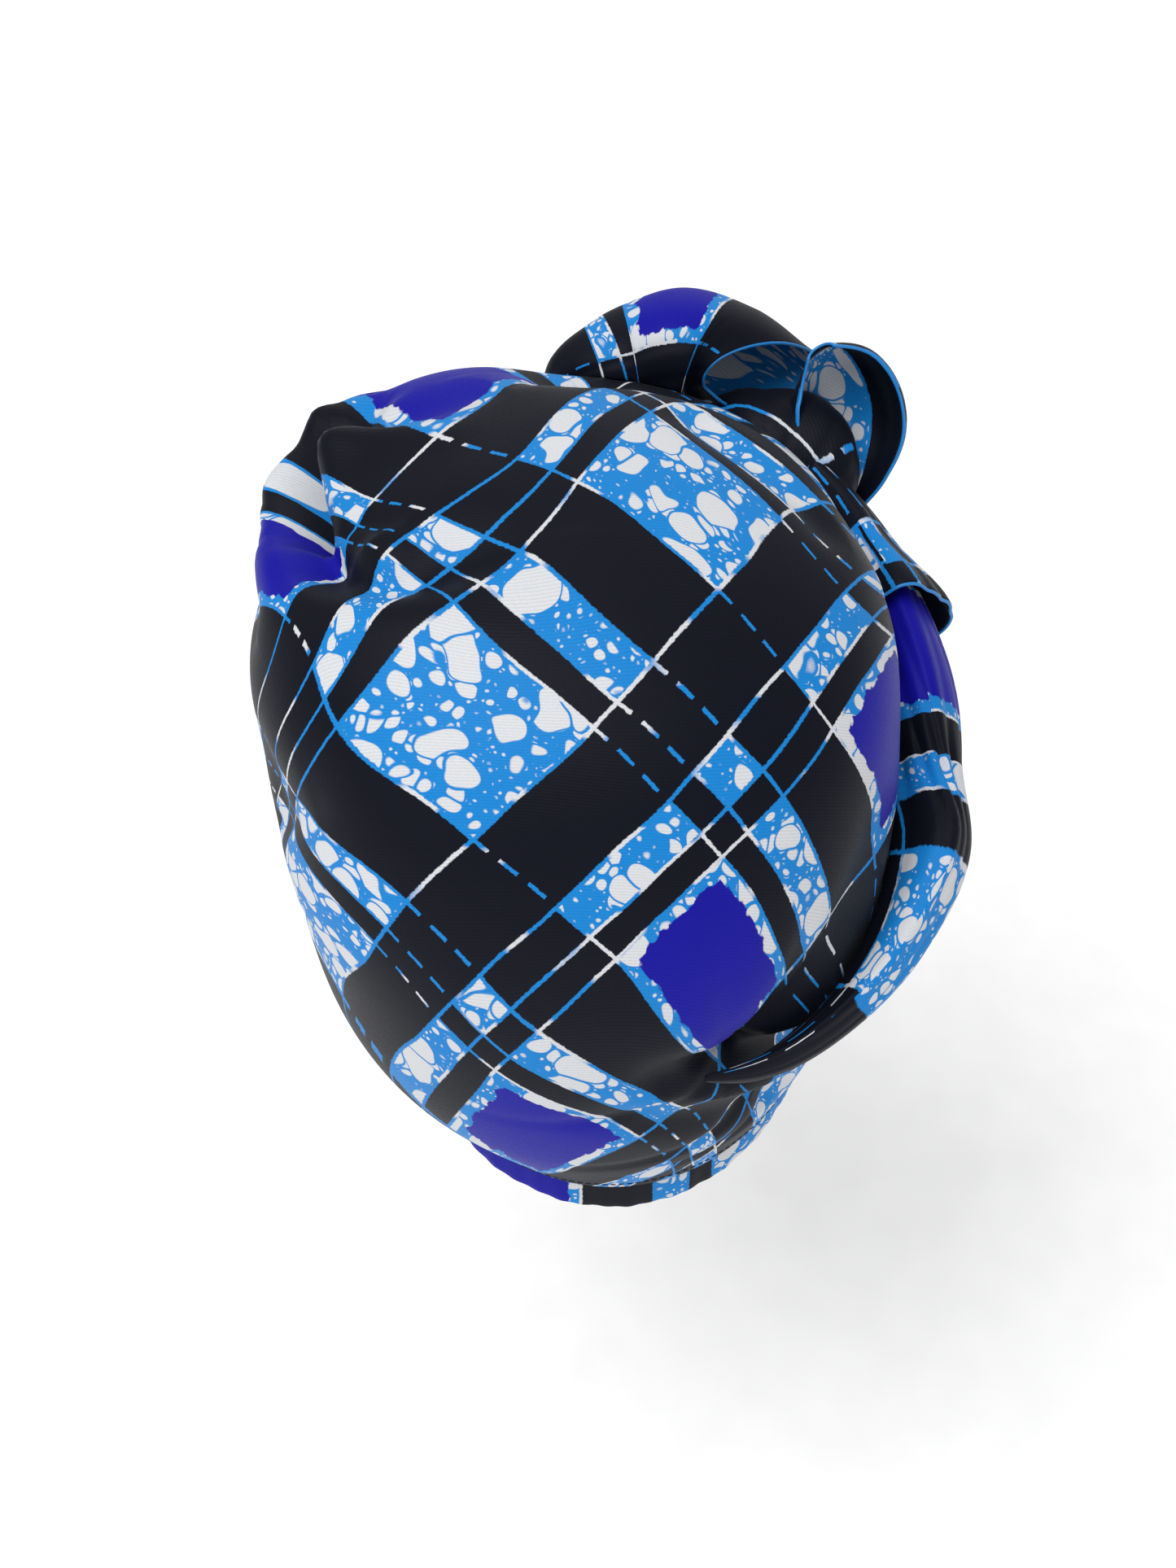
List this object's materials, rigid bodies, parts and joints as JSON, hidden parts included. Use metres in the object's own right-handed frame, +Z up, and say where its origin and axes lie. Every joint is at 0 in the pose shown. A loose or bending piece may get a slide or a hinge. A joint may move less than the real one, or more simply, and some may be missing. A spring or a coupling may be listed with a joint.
{
  "type": "wired head wrap",
  "caption": "Full asymmetric cloth head wrap with a band round its opening, and a wound side roll that ends in a knot with two open petals and a loose end.",
  "frame": {"origin": "middle of the head opening, at the height where the head fills the band", "axes": "+Z up along the head, -Y the way the face looks, so +X is the wearer's left and +Y the nape"},
  "size_m": [0.2307, 0.256, 0.2501],
  "materials": {
    "printed_satin": "satin print cloth with a bias plaid",
    "band_cloth": "satin print cloth over elastic",
    "tail_cloth": "satin print cloth with a wired edge"
  },
  "bodies": {
    "root": {"crown": "printed_satin", "hem_band": "band_cloth", "knot": "tail_cloth", "side_roll": "tail_cloth", "tail_end": "tail_cloth", "petal_top": "tail_cloth", "petal_side": "tail_cloth"}
  },
  "joints": []
}
